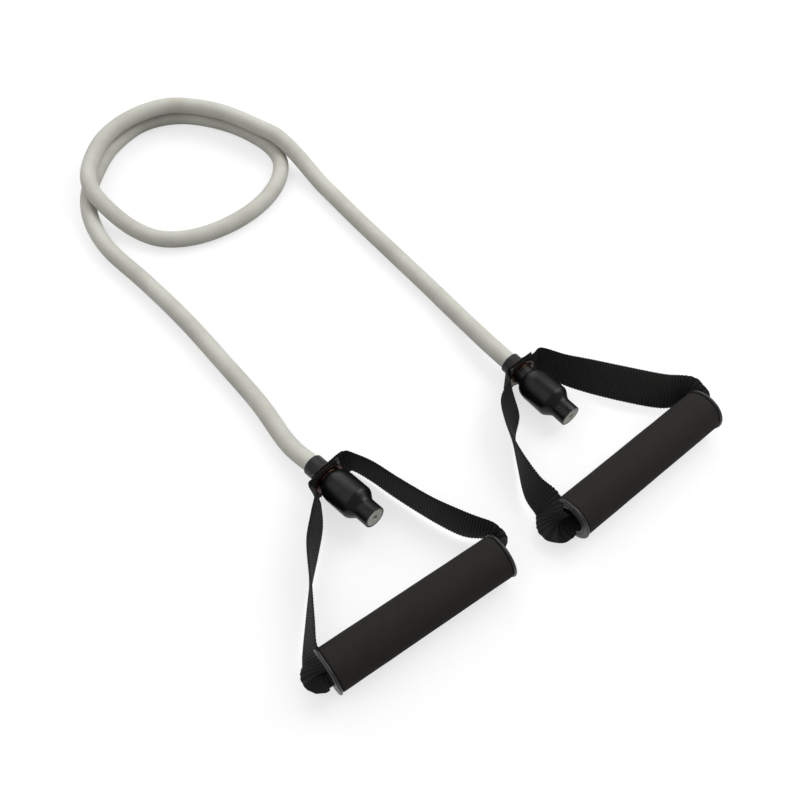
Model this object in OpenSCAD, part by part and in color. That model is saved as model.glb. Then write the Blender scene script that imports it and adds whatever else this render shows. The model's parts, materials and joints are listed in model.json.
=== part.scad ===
// Resistance band: one elastic tube laid in a loop on the floor, with a
// webbing handle hung on the plugged end at each side.
// Millimetres. X runs along the grips, Y from the handles towards the loop,
// Z up from the floor. The origin lies on the floor between the two handles.

/* [Tube] */
// Outer diameter of the elastic tube
tube_d = 13; // [10:0.5:13.5]
// Bore through the tube
tube_bore = 4; // [2:0.5:6]
// Air left between two strands that cross
strand_gap = 1; // [0.6:0.1:3]

/* [Tube end] */
// Diameter of the plug that swells the tube's end
plug_d = 15; // [10:0.5:16]
// Length of the plug
plug_len = 18; // [14:1:22]
// Rounding of the plug's two ends
plug_round = 4; // [2:0.5:4.5]
// Wall of the tube where it is stretched over the plug
swell_wall = 3; // [2:0.1:4]
// Length over which the tube swells up or draws in
swell_ramp = 6; // [4:0.5:8]
// Rubber wall of the boot over the swelling
boot_wall = 1.2; // [0.8:0.1:2]
// Length of the boot's straight neck, to the tube's open end
neck_len = 10.4; // [6:0.2:25]
// Rounding of the boot's end next to the eyelet
boot_nose = 2.5; // [1:0.5:3]
// Wall of the collar that lines the eyelet
collar_wall = 1.1; // [0.8:0.1:2]
// Length of collar on the tube's side of the strap, when the eyelet is next to the boot
collar_len = 15; // [8:1:25]

/* [Strap] */
// Width of the webbing
strap_w = 25; // [20:1:30]
// Thickness of the webbing
strap_t = 1.5; // [1:0.1:2.5]
// Webbing past the hole for the eyelet, to its sealed end
lap_edge = 1.9; // [1.5:0.1:3]

/* [Eyelet] */
// Wall of the eyelet's barrel
eyelet_wall = 0.7; // [0.5:0.1:1.2]
// Width of the eyelet's flange
eyelet_flange = 2.5; // [1.5:0.1:3.2]
// Thickness of the flange and of the washer
eyelet_t = 0.7; // [0.5:0.1:1.2]
// Play between the eyelet and the collar
eyelet_play = 0.4; // [0.3:0.1:1]

/* [Grip] */
// Outer diameter of the foam
foam_d = 30; // [27:0.5:38]
// Length of the foam
foam_len = 127; // [100:1:150]
// Rounding of the foam's two edges
foam_round = 1.2; // [0.5:0.1:2]
// Thickness of the foam
foam_wall = 3.1; // [2:0.1:4]
// Wall of the core pipe
core_wall = 1.4; // [1:0.1:1.6]
// How far the end cap's flange stands proud of the foam
cap_lip = 0.75; // [0.25:0.25:3]
// Thickness of the end cap's flange
cap_t = 2.2; // [1.6:0.1:4]
// Wall of the end cap's barrel
cap_wall = 1; // [0.8:0.1:1.2]
// Depth of the end cap's barrel in the core
cap_depth = 12; // [6:1:20]

/* [Layout] */
// Middle of the left grip, across
left_grip_x = -90; // [-108:1:-86]
// Reach of the left handle, from its eyelet to the middle of its grip
left_reach = 110; // [106:1:122]
// Turn of the left grip on the floor
left_grip_turn = -2.5; // [-8:0.5:8]
// Middle of the left eyelet, across
left_eye_x = -81; // [-85:1:-77]
// Middle of the left eyelet, along
left_eye_y = 59; // [53:1:65]
// Turn of the left end of the tube
left_end_turn = 8; // [0:0.5:12]
// Middle of the right grip, across
right_grip_x = 92; // [88:1:110]
// Reach of the right handle, from its eyelet to the middle of its grip
right_reach = 105; // [101:1:117]
// Turn of the right grip on the floor
right_grip_turn = 2.5; // [-8:0.5:8]
// Middle of the right eyelet, across
right_eye_x = 77; // [73:1:81]
// Middle of the right eyelet, along
right_eye_y = 46; // [40:1:52]
// Turn of the right end of the tube
right_end_turn = 3; // [0:0.5:12]
// Rise of the left end of the tube
left_end_tilt = 8; // [2:0.5:9]
// Rise of the right end of the tube
right_end_tilt = 2; // [1:0.5:9]
// How far the left eyelet has slid along its collar, away from the boot
left_slide = 0; // [0:0.5:6]
// How far the right eyelet has slid along its collar, away from the boot
right_slide = 4.5; // [0:0.5:6]

/* [Hidden] */
$fn = 64;

// Sides are counted 0 on the left and 1 on the right.
left = 0;
right = 1;

// Clearance round the soft pieces, and between pieces that are pressed together
fit = 0.3;
seat = 0.1;
floor_gap = 0.5;
// How far a cut runs past the face that it opens
cut = 1;

// Radii along a tube end
tube_r = tube_d / 2;
plug_r = plug_d / 2;
swell_bore = plug_r + fit;
swell_r = swell_bore + swell_wall;
collar_r = tube_r + fit + collar_wall;
barrel_r = collar_r + eyelet_play + eyelet_wall;
flange_r = barrel_r + eyelet_flange;
hole_r = barrel_r + seat;
neck_r = tube_r + fit + boot_wall;
boot_r = swell_r + fit + boot_wall;

// Distances along a tube end, from the middle of an eyelet next to the boot to the open end
lap_gap = 0.4;
layer_s = (strap_t + lap_gap) / 2;
stack_s = layer_s + strap_t / 2;
flange_s = stack_s + 2 * seat + eyelet_t;
boot_room = 1.45;
boot_s = flange_s + boot_room;
plug_tuck = 1;
swell_from = boot_s + boot_nose;
plug_s = swell_from + swell_ramp + plug_len / 2 - plug_tuck;
swell_to = plug_s + plug_len / 2 - plug_tuck;
neck_s = swell_to + boot_wall + swell_ramp;
open_s = neck_s + neck_len;
lead_s = collar_len + 2 * tube_d;

// The grip's bore and the webbing's ride in it
core_d = foam_d - 2 * (foam_wall + seat);
core_bore = core_d / 2 - core_wall;
cap_d = foam_d + 2 * cap_lip;
cap_bore = core_bore - seat - cap_wall;
mouth_x = foam_len / 2 + cap_t;
ride = cap_bore - 2 * fit - strap_t / 2;
lip_gap = strap_t / 2 + 2 * fit;
strap_curl = strap_w / ride * 180 / PI;

// Heights of the grips and of the eyelets above the floor
grip_z = cap_d / 2;
eye_z = max(strap_w / 2, flange_r) + floor_gap;

// The webbing's lap at the eyelet, where it turns into a leg, as shares of the bend, and how far
// the bend lies past the sealed end and along the tube, for the leg at -X and the leg at +X
strap_lap = hole_r + lap_edge;
tab_flat = max(strap_lap, flange_r) + cut;
turn_out = 0.95;
turn_down = 0.4;
bend_out = [5, 7];
bend_down = [8.5, 6];

// Where a leg has its stations and where its curl starts, as shares of its length, then the
// share of the full curl at the flange's rim, round its lip and in its mouth
leg_shares = [0.15, 0.35, 0.6, 0.85];
curl_from = 0.7;
rim_curl = 0.3;
lip_curl = 0.6;
mouth_curl = 0.9;

// How far a leg stands off the end cap (mm), the share of it left where it enters the bore, and
// how far its top leans out (degrees) at the bend and at the cap's rim: rows are the left and
// right handle, columns the leg at -X and the leg at +X.
leg_slack = [[0.3, 0], [3.8, 0]];
slack_left = 0.4;
bend_lean = [[0, -4], [10, 18]];
rim_lean = [[-10, 4], [-20, 20]];
// How far a leg bows out (mm) and its top leans out (degrees) at each of its stations
leg_bow = [[[0, 2, 2, 1], [4, 0, -2, -2]], [[5, 9, 8, 6], [-2, -3, -4, -3]]];
leg_lean = [[[13, 12, -6, -20], [-8, 0, 8, 14]], [[36, 20, 10, -2], [34, 48, 52, 46]]];

// The tube's route from the left end to the right one: across, along, and
// height in strands, where 0 lies on the floor and 1 lies on another strand.
route = [
  [-85, 139, 0], [-87, 184, 0], [-90, 234, 0], [-96, 284, 0],
  [-103, 329, 0], [-101, 362, 0], [-91, 390, 0], [-73, 412, 0],
  [-47, 432, 0], [-13, 441, 0], [19, 429, 0], [45, 398, 0],
  [59, 362, 0], [59, 334, 0], [44, 313, 0], [19, 300, 0],
  [-11, 296, 0], [-41, 301, 0], [-64, 315, 0], [-77, 337, 0.05],
  [-85, 362, 0.5], [-87, 385, 1], [-76, 408, 1], [-51, 430, 1],
  [-18, 438, 1], [14, 430, 1], [42, 400, 1], [60, 360, 1],
  [66, 342, 0.95], [70, 322, 0.45], [71, 285, 0], [72, 239, 0],
  [74, 189, 0], [76, 134, 0]
];
route_steps = 2;
tube_sides = 12;

// Plain vector help
function unit(v) = v / norm(v);
function turn(p, a) = [p.x * cos(a) - p.y * sin(a), p.x * sin(a) + p.y * cos(a), p.z];
function mix(a, b, t) = a + (b - a) * t;
function clamp01(t) = min(max(t, 0), 1);
function smooth(t) = let (k = clamp01(t)) k * k * (3 - 2 * k);
function arc(c, r, a0, a1, n = 6) =
  [for (i = [0 : n]) let (a = mix(a0, a1, i / n)) c + r * [cos(a), sin(a)]];

// A smooth curve through points of any number of values
function curve_at(a, b, c, d, t) =
  ((2 * b) + (c - a) * t + (2 * a - 5 * b + 4 * c - d) * t * t
  + (3 * b - a - 3 * c + d) * t * t * t) / 2;
function curve(points, steps) = let (n = len(points) - 1) concat(
  [for (i = [0 : n - 1], k = [0 : steps - 1])
    curve_at(
      points[max(i - 1, 0)], points[i], points[i + 1], points[min(i + 2, n)],
      k / steps
    )],
  [points[n]]
);
function heading(points, i) =
  unit(points[min(i + 1, len(points) - 1)] - points[max(i - 1, 0)]);

// Frames of the grips and of the tube's ends
function grip_at(side) = side == left
  ? [left_grip_x, left_eye_y - left_reach, grip_z]
  : [right_grip_x, right_eye_y - right_reach, grip_z];
function grip_turn(side) = side == left ? left_grip_turn : right_grip_turn;
function on_grip(side, p) = grip_at(side) + turn(p, grip_turn(side));
function eye_at(side) = side == left
  ? [left_eye_x, left_eye_y, eye_z]
  : [right_eye_x, right_eye_y, eye_z];
function end_turn(side) = side == left ? left_end_turn : right_end_turn;
function end_tilt(side) = side == left ? left_end_tilt : right_end_tilt;
function slide(side) = side == left ? left_slide : right_slide;
function end_axis(side) = let (a = end_turn(side), b = end_tilt(side))
  [sin(a) * cos(b), -cos(a) * cos(b), sin(b)];
function end_across(side) = let (a = end_turn(side)) [cos(a), sin(a), 0];
function end_at(side, s) = eye_at(side) + (s + slide(side)) * end_axis(side);

// How far the tube has swollen over its plug at distance s, from 0 to 1
function swell(s) =
  smooth((s - swell_from) / swell_ramp) * (1 - smooth((s - swell_to) / swell_ramp));
function swell_stops() = [
  for (k = [0 : 2]) swell_from + swell_ramp * k / 2,
  for (k = [0 : 2]) swell_to + swell_ramp * k / 2
];
function tube_out(s) = mix(tube_r, swell_r, swell(s));
function tube_in(s) = mix(tube_bore / 2, swell_bore, swell(s));

// Rings of the tube as [centre, outer radius, bore radius]
function end_rings(side) =
  [for (s = concat([-lead_s, -collar_len, 0], swell_stops(), [open_s]))
    [end_at(side, s), tube_out(s), tube_in(s)]];
function strand(p) = [p.x, p.y, tube_r + p.z * (tube_d + strand_gap)];
function tube_rings() = let (
    start = end_rings(left),
    finish = end_rings(right),
    path = concat(
      [start[1][0], start[0][0]],
      [for (p = route) strand(p)],
      [finish[0][0], finish[1][0]]
    ),
    laid = curve(path, route_steps)
  ) concat(
    [for (i = [len(start) - 1 : -1 : 1]) start[i]],
    [for (i = [route_steps : len(laid) - 1 - route_steps])
      [[laid[i].x, laid[i].y, max(laid[i].z, tube_r)], tube_r, tube_bore / 2]],
    [for (i = [1 : len(finish) - 1]) finish[i]]
  );

// The least air between strands that lie well apart along the tube
function least_gap() = let (
    rings = [for (r = tube_rings()) r[0]],
    fine = 5,
    points = [for (i = [0 : len(rings) - 2], k = [0 : fine - 1])
      mix(rings[i], rings[i + 1], k / fine)],
    apart = 30
  ) min([for (i = [0 : len(points) - 1 - apart], j = [i + apart : len(points) - 1])
    norm(points[i] - points[j])]) - tube_d;
echo(least_gap_between_strands = least_gap());  // tube

// A closed skin over rings of n points each, with the first and last ring capped
function ring_faces(count, n) = [
  for (i = [0 : count - 2], k = [0 : n - 1]) each [
    [i * n + k, i * n + (k + 1) % n, (i + 1) * n + (k + 1) % n],
    [i * n + k, (i + 1) * n + (k + 1) % n, (i + 1) * n + k]
  ]
];

module tube() {
  rings = tube_rings();
  centres = [for (r = rings) r[0]];
  count = len(rings);
  n = tube_sides;
  function ring(i, r) = let (
      along = heading(centres, i),
      side = unit(cross(along, [0, 0, 1])),
      up = cross(side, along)
    ) [for (k = [0 : n - 1]) let (a = 360 * (k + 0.5) / n)
      centres[i] + r * (cos(a) * side + sin(a) * up)];
  // Out along the skin, back along the bore, and round to the first ring
  skin = [for (i = [0 : count - 1]) ring(i, rings[i][1])];
  bore = [for (i = [count - 1 : -1 : 0]) ring(i, rings[i][2] / cos(180 / n))];
  loop = concat(skin, bore, [skin[0]]);
  total = 2 * count * n;
  color("darkgray") polyhedron(
    [for (r = concat(skin, bore)) each r],
    [for (f = ring_faces(len(loop), n)) [for (v = f) v % total]]
  );
}

// The legs of one strap as stations [x, y, z, lean, curl], from eyelet to core
function strap_leg(side, hand) = let (
    sign = hand == left ? -1 : 1,
    along = end_axis(side),
    across = sign * end_across(side),
    layer = (hand == side ? layer_s : -layer_s) * along,
    eye = eye_at(side),
    out = (strap_lap + bend_out[hand]) * across,
    down = bend_down[hand] * along,
    bend = eye + out + down,
    mouth = mouth_x + leg_slack[side][hand],
    inlet = mix(mouth_x, mouth, slack_left),
    rim = on_grip(side, [sign * (mouth + lip_gap / 2), cap_d / 2 + lip_gap, 0]),
    side_way = unit(cross(rim - bend, [0, 0, sign])),
    bow = leg_bow[side][hand],
    lean = leg_lean[side][hand],
    tab_lean = -end_tilt(side)
  ) concat(
    [for (q = [-strap_lap, 0, flange_r, tab_flat]) [each (eye + layer + q * across), tab_lean, 0]],
    [[each (eye + turn_out * out + turn_down * down), tab_lean, 0]],
    [[each bend, -bend_lean[side][hand], 0]],
    [for (i = [0 : len(leg_shares) - 1]) let (
        t = leg_shares[i],
        curl = rim_curl * smooth((t - curl_from) / (1 - curl_from))
      ) [each (mix(bend, rim, t) - bow[i] * side_way), -lean[i], curl]],
    [[each rim, -rim_lean[side][hand], rim_curl]],
    [[each on_grip(side, [sign * (mouth + lip_gap), (cap_d / 2 + ride) / 2, 0]), 0, lip_curl]],
    [[each on_grip(side, [sign * (inlet + lip_gap / 2), ride + lip_gap, 0]), 0, mouth_curl]],
    [for (x = [mouth_x - lip_gap, mouth_x - cap_depth])
      [each on_grip(side, [sign * x, ride, 0]), 0, 1]]
  );
function reversed(list) = [for (i = [len(list) - 1 : -1 : 0]) list[i]];
function strap_stations(side) = curve(concat(
  strap_leg(side, right),
  [[each on_grip(side, [0, ride, 0]), 0, 1]],
  reversed(strap_leg(side, left))
), 2);

// A webbing ribbon: each station is a strip across the width, curled by its share
module strap(side) {
  stations = strap_stations(side);
  middle = [for (s = stations) [s[0], s[1], s[2]]];
  strips = 7;
  // Flat webbing is drawn with this much curl, in degrees
  least_curl = 1;
  function across_strip(i) = let (
      along = heading(middle, i),
      plumb = unit(cross(cross(along, [0, 0, 1]), along)),
      level = cross(along, plumb),
      lean = stations[i][3],
      wide = cos(lean) * plumb + sin(lean) * level,
      thick = cross(along, wide),
      curl = max(clamp01(stations[i][4]) * strap_curl, least_curl),
      r = strap_w / (curl * PI / 180),
      edge = function (k, lift) let (a = curl * (k / strips - 0.5))
        middle[i] - r * thick + (r + lift) * (cos(a) * thick + sin(a) * wide)
    ) concat(
      [for (k = [0 : strips]) edge(k, strap_t / 2)],
      [for (k = [strips : -1 : 0]) edge(k, -strap_t / 2)]
    );
  count = len(stations);
  n = 2 * (strips + 1);
  end_cap = [for (k = [0 : strips - 1]) each [
    [k, n - 1 - k, n - 2 - k],
    [k, n - 2 - k, k + 1]
  ]];
  far_cap = [for (f = end_cap) [for (v = [f[2], f[1], f[0]]) v + (count - 1) * n]];
  color("dimgray") difference() {
    polyhedron(
      [for (i = [0 : count - 1]) each across_strip(i)],
      concat(ring_faces(count, n), end_cap, far_cap)
    );
    on_eye(side) translate([0, 0, -2 * stack_s]) cylinder(h = 4 * stack_s, r = hole_r);
  }
}

// Stands a piece in one eyelet, with its own Z along the tube to the open end
module on_eye(side) {
  translate(eye_at(side))
    rotate([0, 0, end_turn(side)])
      rotate([90 - end_tilt(side), 0, 0])
        children();
}

// Stands a piece on one end of the tube, which the eyelet slides on
module on_end(side) {
  on_eye(side) translate([0, 0, slide(side)]) children();
}

// Stands a piece on one grip, with its own Z along the grip to +X
module on_grip_axis(side) {
  translate(grip_at(side))
    rotate([0, 0, grip_turn(side)])
      rotate([0, 90, 0])
        children();
}

module collar(side) {
  color("darkslategray") on_end(side)
    translate([0, 0, -collar_len]) difference() {
      cylinder(h = collar_len + boot_s - seat, r = collar_r);
      translate([0, 0, -cut]) cylinder(h = collar_len + boot_s + 2 * cut, r = tube_r + fit);
    }
}

// Rubber boot: a bulge over the swelling, a rounded shoulder and a straight neck
module boot(side) {
  steps = 8;
  shoulder = [for (k = [0 : steps])
    [mix(neck_r, boot_r, (1 + cos(180 * k / steps)) / 2), neck_s - swell_ramp * (1 - k / steps)]];
  inside = [for (s = concat([boot_s], swell_stops(), [open_s])) [tube_out(s) + fit, s]];
  nose = arc([boot_r - boot_wall - boot_nose, boot_s + boot_nose], boot_nose, -90, 0);
  color("black") on_end(side) rotate_extrude() polygon(concat(
    nose, shoulder, [[neck_r, open_s]], reversed(inside)
  ));
}

module plug(side) {
  half = plug_len / 2;
  inner = plug_r - plug_round;
  color("white") on_end(side) translate([0, 0, plug_s]) rotate_extrude() polygon(concat(
    [[0, -half]],
    arc([inner, plug_round - half], plug_round, -90, 0),
    arc([inner, half - plug_round], plug_round, 0, 90),
    [[0, half]]
  ));
}

// Barrel through both layers of webbing, with a flange on the tube's side
module eyelet(side) {
  color("silver") on_eye(side) difference() {
    union() {
      translate([0, 0, -flange_s]) cylinder(h = eyelet_t, r = flange_r);
      translate([0, 0, -flange_s]) cylinder(h = 2 * flange_s + eyelet_t / 2, r = barrel_r);
    }
    translate([0, 0, -flange_s - cut])
      cylinder(h = 2 * flange_s + eyelet_t + 2 * cut, r = barrel_r - eyelet_wall);
  }
}

// Ring under the barrel's rolled edge, on the boot's side
module washer(side) {
  color("silver") on_eye(side) translate([0, 0, flange_s - eyelet_t]) difference() {
    cylinder(h = eyelet_t, r = flange_r);
    translate([0, 0, -cut]) cylinder(h = eyelet_t + 2 * cut, r = barrel_r + seat / 2);
  }
}

module foam(side) {
  half = foam_len / 2;
  bore = core_d / 2 + seat;
  corner = foam_d / 2 - foam_round;
  color("dimgray") on_grip_axis(side) rotate_extrude() polygon(concat(
    [[bore, -half]],
    arc([corner, foam_round - half], foam_round, -90, 0),
    arc([corner, half - foam_round], foam_round, 0, 90),
    [[bore, half]]
  ));
}

module core(side) {
  color("white") on_grip_axis(side) difference() {
    cylinder(h = foam_len, d = core_d, center = true);
    cylinder(h = foam_len + 2 * cut, r = core_bore, center = true);
  }
}

// Round-rimmed flange with a barrel in the core; hand is the end of the grip
module cap(side, hand) {
  rim = cap_t / 2;
  lip = cap_wall / 2;
  color("gray") on_grip_axis(side) rotate([hand == right ? 0 : 180, 0, 0])
    translate([0, 0, foam_len / 2]) rotate_extrude() polygon(concat(
      [[cap_bore, -cap_depth], [core_bore - seat, -cap_depth], [core_bore - seat, 0]],
      arc([cap_d / 2 - rim, rim], rim, -90, 90, 10),
      arc([cap_bore + lip, cap_t - lip], lip, 90, 180)
    ));
}

module left_collar() { collar(left); }
module left_boot() { boot(left); }
module left_plug() { plug(left); }
module left_eyelet() { eyelet(left); }
module left_washer() { washer(left); }
module left_strap() { strap(left); }
module left_foam() { foam(left); }
module left_core() { core(left); }
module left_cap_outer() { cap(left, left); }
module left_cap_inner() { cap(left, right); }
module right_collar() { collar(right); }
module right_boot() { boot(right); }
module right_plug() { plug(right); }
module right_eyelet() { eyelet(right); }
module right_washer() { washer(right); }
module right_strap() { strap(right); }
module right_foam() { foam(right); }
module right_core() { core(right); }
module right_cap_inner() { cap(right, left); }
module right_cap_outer() { cap(right, right); }

tube();
left_collar();
left_boot();
left_plug();
left_eyelet();
left_washer();
left_strap();
left_foam();
left_core();
left_cap_outer();
left_cap_inner();
right_collar();
right_boot();
right_plug();
right_eyelet();
right_washer();
right_strap();
right_foam();
right_core();
right_cap_inner();
right_cap_outer();
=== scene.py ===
"""Looks of a resistance band: a latex tube laid in a loop, with a webbing handle on each plugged end."""

import json
import logging
import math
from dataclasses import dataclass, field, replace
from enum import Enum

import bmesh
import bpy
import numpy as np
from mathutils import Matrix, Vector, noise


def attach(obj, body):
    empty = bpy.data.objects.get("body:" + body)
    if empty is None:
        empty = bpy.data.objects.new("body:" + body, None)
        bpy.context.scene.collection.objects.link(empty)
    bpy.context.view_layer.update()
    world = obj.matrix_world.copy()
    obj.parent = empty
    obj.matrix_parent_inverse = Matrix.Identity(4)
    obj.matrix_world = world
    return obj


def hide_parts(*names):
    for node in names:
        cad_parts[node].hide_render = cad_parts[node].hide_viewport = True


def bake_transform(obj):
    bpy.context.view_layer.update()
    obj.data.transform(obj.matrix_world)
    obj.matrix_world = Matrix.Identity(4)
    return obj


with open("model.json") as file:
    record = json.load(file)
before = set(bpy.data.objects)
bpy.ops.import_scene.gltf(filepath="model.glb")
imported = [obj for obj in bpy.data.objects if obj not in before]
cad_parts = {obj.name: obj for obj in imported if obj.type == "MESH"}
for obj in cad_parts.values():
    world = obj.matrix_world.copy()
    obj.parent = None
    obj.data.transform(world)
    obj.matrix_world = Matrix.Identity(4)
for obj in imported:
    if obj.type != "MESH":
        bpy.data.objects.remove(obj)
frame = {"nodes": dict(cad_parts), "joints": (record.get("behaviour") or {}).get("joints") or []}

LOG = logging.getLogger("resistance_band")
MM = 0.001
UP = np.array([0.0, 0.0, 1.0])
Profile = list[tuple[float, float]]
Blendable = float | np.ndarray
Colour = tuple[float, float, float]
Socket = bpy.types.NodeSocket


class Side(Enum):
    """The two handles, by where they lie."""

    LEFT = "left"
    RIGHT = "right"


class Hand(Enum):
    """The two ends of a grip, by the sign of X on its own axis."""

    MINUS = -1
    PLUS = 1


def unit(v: np.ndarray) -> np.ndarray:
    """The vector at length one."""
    return v / np.linalg.norm(v)


def mix(a: Blendable, b: Blendable, t: Blendable) -> Blendable:
    """The value a share t of the way from a to b."""
    return a + (b - a) * t


def smooth(t: Blendable) -> Blendable:
    """A soft step from 0 to 1, for numbers and arrays."""
    k = np.clip(t, 0.0, 1.0)
    return k * k * (3 - 2 * k)


def arc(centre: tuple[float, float], radius: float, start: float, end: float, steps: int = 8) -> Profile:
    """A round stretch of a lathe profile.

    Args:
        centre: Radius and distance of the arc's middle.
        radius: Radius of the arc.
        start: Angle that it starts at, in degrees from the outward radius.
        end: Angle that it ends at.
        steps: Number of straight steps.

    Returns:
        Points as (radius, distance along the axis).
    """
    angles = np.radians(np.linspace(start, end, steps + 1))
    return [(centre[0] + radius * math.cos(a), centre[1] + radius * math.sin(a)) for a in angles]


def spline(points: np.ndarray, steps: int) -> np.ndarray:
    """A smooth curve through rows of any number of values.

    Args:
        points: One row for each point.
        steps: Steps from each point to the next.

    Returns:
        The rows along the curve, first and last point included.
    """
    padded = np.vstack([points[:1], points, points[-1:]])
    t = (np.arange(steps) / steps)[:, None]
    rows = []
    for a, b, c, d in zip(padded[:-3], padded[1:-2], padded[2:-1], padded[3:]):
        square, cube = 2 * a - 5 * b + 4 * c - d, 3 * b - a - 3 * c + d
        rows.append((2 * b + (c - a) * t + square * t**2 + cube * t**3) / 2)
    return np.vstack([*rows, points[-1:]])


def distances(points: np.ndarray) -> np.ndarray:
    """Distance of each point along the line, measured on the first three values of each row."""
    steps = np.linalg.norm(np.diff(points[:, :3], axis=0), axis=1)
    return np.concatenate([[0.0], np.cumsum(steps)])


def evenly(points: np.ndarray, spacing: float) -> np.ndarray:
    """The same line with its points an even distance apart.

    Args:
        points: Rows whose first three values are a place.
        spacing: Distance that is wanted between two points.

    Returns:
        Rows of the same kind.
    """
    along = distances(points)
    count = max(2, round(along[-1] / spacing) + 1)
    wanted = np.linspace(0.0, along[-1], count)
    return np.column_stack([np.interp(wanted, along, column) for column in points.T])


def headings(points: np.ndarray) -> np.ndarray:
    """The way that a line runs at each of its points."""
    way = np.gradient(points[:, :3], axis=0)
    return way / np.linalg.norm(way, axis=1)[:, None]


def loft(name: str, rings: np.ndarray, wrap: bool) -> bpy.types.Object:
    """A closed mesh over rings of points.

    Args:
        name: Name of the new object.
        rings: Array of rings, points and coordinates.
        wrap: True to join the last ring to the first, False to cap both.

    Returns:
        The new object, with its place in its mesh.
    """
    count, n = rings.shape[:2]
    last = count if wrap else count - 1
    i, k = np.meshgrid(np.arange(last), np.arange(n), indexing="ij")
    j, m = (i + 1) % count, (k + 1) % n
    quads = np.stack([i * n + k, i * n + m, j * n + m, j * n + k], axis=-1).reshape(-1, 4)
    faces = [tuple(q) for q in quads.tolist()]
    if not wrap:
        for base, step in ((0, -1), ((count - 1) * n, 1)):
            for k in range(n // 2 - 1):
                corners = (base + k, base + k + 1, base + n - 2 - k, base + n - 1 - k)
                faces.append(corners[::step])
    mesh = bpy.data.meshes.new(name)
    mesh.from_pydata(rings.reshape(-1, 3).tolist(), [], faces)
    piece = bpy.data.objects.new(name, mesh)
    bpy.context.scene.collection.objects.link(piece)
    work = bmesh.new()
    work.from_mesh(mesh)
    bmesh.ops.recalc_face_normals(work, faces=work.faces)
    work.to_mesh(mesh)
    work.free()
    return piece


def shade(piece: bpy.types.Object, sharp: float = 35.0) -> None:
    """Shades a mesh smooth and leaves the edges over an angle sharp.

    Args:
        piece: Mesh object.
        sharp: Angle between two faces, in degrees.
    """
    work = bmesh.new()
    work.from_mesh(piece.data)
    limit = math.radians(sharp)
    for face in work.faces:
        face.smooth = True
    for edge in work.edges:
        edge.smooth = edge.calc_face_angle(math.pi) < limit
    work.to_mesh(piece.data)
    work.free()


def put(piece: bpy.types.Object, name: str, values: np.ndarray) -> None:
    """Keeps one number for each vertex, under a name that a finish reads."""
    layer = piece.data.attributes.new(name, "FLOAT", "POINT")
    layer.data.foreach_set("value", np.asarray(values, np.float32))


@dataclass(frozen=True)
class Axis:
    """A line that pieces are turned about: a point on it, its direction and two square to that."""

    origin: np.ndarray
    along: np.ndarray
    across: np.ndarray
    up: np.ndarray

    @classmethod
    def of_joint(cls: type["Axis"], name: str) -> "Axis":
        """The axis of a hinge in the frame.

        Args:
            name: Name of the joint.

        Returns:
            The axis, with its up direction as near plumb as it can be.
        """
        joint = next(j for j in frame["joints"] if j["name"] == name)
        along = unit(np.array(joint["axis"], float))
        across = unit(np.cross(UP, along))
        return cls(np.array(joint["pos_m"], float), along, across, np.cross(along, across))

    def point(self, s: float) -> np.ndarray:
        """The point at a distance along the axis."""
        return self.origin + s * self.along

    def moved(self, s: float) -> "Axis":
        """The same axis, measured from a point further along it."""
        return replace(self, origin=self.point(s))

    def lathe(self, name: str, profile: Profile, sides: int = 96) -> bpy.types.Object:
        """A ring turned about the axis.

        Args:
            name: Name of the new object.
            profile: Closed outline as (radius, distance along the axis).
            sides: Number of facets round the axis.

        Returns:
            The new mesh object.
        """
        outline = np.array(profile)
        angles = np.linspace(0.0, 2 * math.pi, sides, endpoint=False)
        spokes = np.cos(angles)[:, None] * self.across + np.sin(angles)[:, None] * self.up
        rings = self.origin + outline[None, :, :1] * spokes[:, None, :] + outline[None, :, 1:] * self.along
        return loft(name, rings, wrap=True)


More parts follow.
